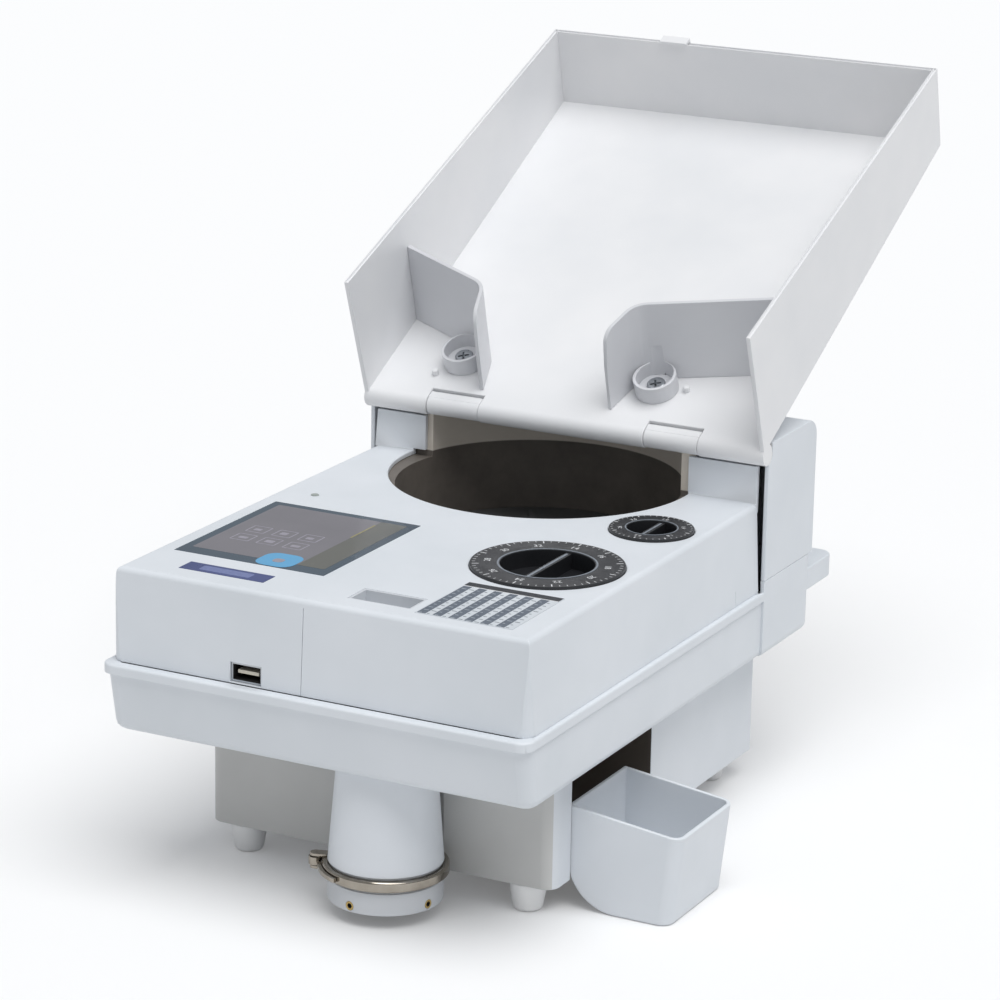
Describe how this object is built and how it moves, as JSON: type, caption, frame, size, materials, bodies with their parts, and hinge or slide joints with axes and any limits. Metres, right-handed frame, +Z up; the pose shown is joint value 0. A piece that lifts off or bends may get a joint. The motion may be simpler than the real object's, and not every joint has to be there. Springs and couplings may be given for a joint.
{
  "type": "coin counting machine",
  "caption": "Desktop coin counting machine with a hinged feed tray over a coin bowl, dials that set coin diameter and thickness, a touch display, a bag spout and a reject bin.",
  "frame": {"origin": "on the table, under the middle of the whole machine's box at rest", "axes": "+X to the right as seen from the front, +Y from the front to the back, +Z up"},
  "size_m": [0.328, 0.5928, 0.4343],
  "materials": {
    "shell": "moulded light grey, fine texture",
    "tray": "moulded near white, satin",
    "collar": "moulded grey",
    "foot": "white rubber",
    "inner_plastic": "moulded grey",
    "dial": "black, satin",
    "screen": "smooth dark window",
    "accent": "printed navy",
    "table_plate": "printed grey stripes",
    "lamp": "clear lens",
    "board": "coated circuit board",
    "rubber": "matt",
    "chrome": "polished",
    "brass": "turned",
    "steel": "zinc plated"
  },
  "bodies": {
    "casing": {"base_pan": "shell", "feet": "foot", "rear_handle": "shell", "top_cover": "shell", "cover_screws": "steel", "rear_housing": "shell", "hinge_pins": "steel", "hopper_bowl": "inner_plastic", "chassis_plate": "steel", "chassis_screws": "steel", "bearing_housing": "steel", "disc_bearings": "steel", "drive_motor": "steel", "motor_plate": "steel", "drive_belt": "rubber", "coin_rail": "steel", "reject_chute": "inner_plastic", "coin_chute": "inner_plastic", "coin_sensor": "dial", "stop_solenoid": "brass", "transport_frame": "steel", "transport_motor": "steel", "transport_belt": "rubber", "display_lens": "screen", "display_module": "inner_plastic", "control_board": "board", "status_lens": "lamp", "accent_strip": "accent", "setting_table": "table_plate", "pull_recess": "collar", "data_socket": "steel", "power_supply": "steel", "inlet_socket": "dial", "coin_spout": "shell", "bag_collar": "collar", "collar_screws": "chrome", "clamp_ring": "chrome"},
    "hopper_tray": {"hopper_tray": "tray", "left_guide": "tray", "right_guide": "tray", "guide_screws": "chrome", "tray_latch": "shell"},
    "feed_disc": {"feed_disc": "rubber", "disc_cap": "steel", "disc_shaft": "steel", "disc_pulley": "inner_plastic"},
    "motor_pulley": {"motor_pulley": "brass"},
    "transport_pulley": {"transport_pulley": "brass"},
    "idler_pulley": {"idler_pulley": "brass"},
    "diameter_dial": {"diameter_dial": "dial", "dial_pinion": "brass"},
    "diameter_gate": {"diameter_gate": "steel"},
    "thickness_dial": {"thickness_dial": "dial"},
    "thickness_gate": {"thickness_gate": "steel"},
    "stop_pin": {"stop_pin": "steel"},
    "power_rocker": {"power_rocker": "dial"},
    "clamp_lever": {"clamp_lever": "chrome"},
    "reject_bin": {"reject_bin": "shell"}
  },
  "joints": [
    {"name": "tray_hinge", "type": "hinge", "parent": "casing", "child": "hopper_tray", "pos_m": [-0.023, 0.02458, 0.2285], "axis": [1, 0, 0], "range_deg": [0, 120]},
    {"name": "disc_spin", "type": "hinge", "parent": "casing", "child": "feed_disc", "pos_m": [-0.03, 0.00558, 0.151], "axis": [0, 0, 1], "continuous": true},
    {"name": "motor_spin", "type": "hinge", "parent": "casing", "child": "motor_pulley", "pos_m": [-0.093, -0.11242, 0.095], "axis": [0, 0, 1], "continuous": true},
    {"name": "transport_spin", "type": "hinge", "parent": "casing", "child": "transport_pulley", "pos_m": [0.048, -0.20242, 0.16266], "axis": [1, 0, 0], "continuous": true},
    {"name": "idler_spin", "type": "hinge", "parent": "casing", "child": "idler_pulley", "pos_m": [0.048, -0.08742, 0.16266], "axis": [1, 0, 0], "continuous": true},
    {"name": "diameter_turn", "type": "hinge", "parent": "casing", "child": "diameter_dial", "pos_m": [0.058, -0.15642, 0.196], "axis": [0, 0, 1], "range_deg": [-90, 90]},
    {"name": "diameter_slide", "type": "slide", "parent": "casing", "child": "diameter_gate", "axis": [1, 0, 0], "range_m": [-0.0095, 0.0095]},
    {"name": "thickness_turn", "type": "hinge", "parent": "casing", "child": "thickness_dial", "pos_m": [0.079, -0.05842, 0.196], "axis": [0, 0, 1], "range_deg": [-135, 135]},
    {"name": "thickness_slide", "type": "slide", "parent": "casing", "child": "thickness_gate", "axis": [0, 0, 1], "range_m": [-0.00155, 0.00155]},
    {"name": "stop_slide", "type": "slide", "parent": "casing", "child": "stop_pin", "axis": [0, 0, 1], "range_m": [0, 0.005], "stiffness_N_per_m": 100},
    {"name": "rocker_tilt", "type": "hinge", "parent": "casing", "child": "power_rocker", "pos_m": [-0.095, 0.10158, 0.172], "axis": [1, 0, 0], "range_deg": [-7, 7]},
    {"name": "lever_swing", "type": "hinge", "parent": "casing", "child": "clamp_lever", "pos_m": [-0.03894, -0.2584, 0.02775], "axis": [0, 0, 1], "range_deg": [-100, 0]},
    {"name": "bin_slide", "type": "slide", "parent": "casing", "child": "reject_bin", "axis": [1, 0, 0], "range_m": [-0.066, 0]}
  ],
  "couplings": [
    {"joint": "motor_spin", "follows": "disc_spin", "ratio": 3.8},
    {"joint": "idler_spin", "follows": "transport_spin", "ratio": 1},
    {"joint": "diameter_slide", "follows": "diameter_turn", "m_per_rad": 0.006},
    {"joint": "thickness_slide", "follows": "thickness_turn", "m_per_rad": -0.000637}
  ]
}
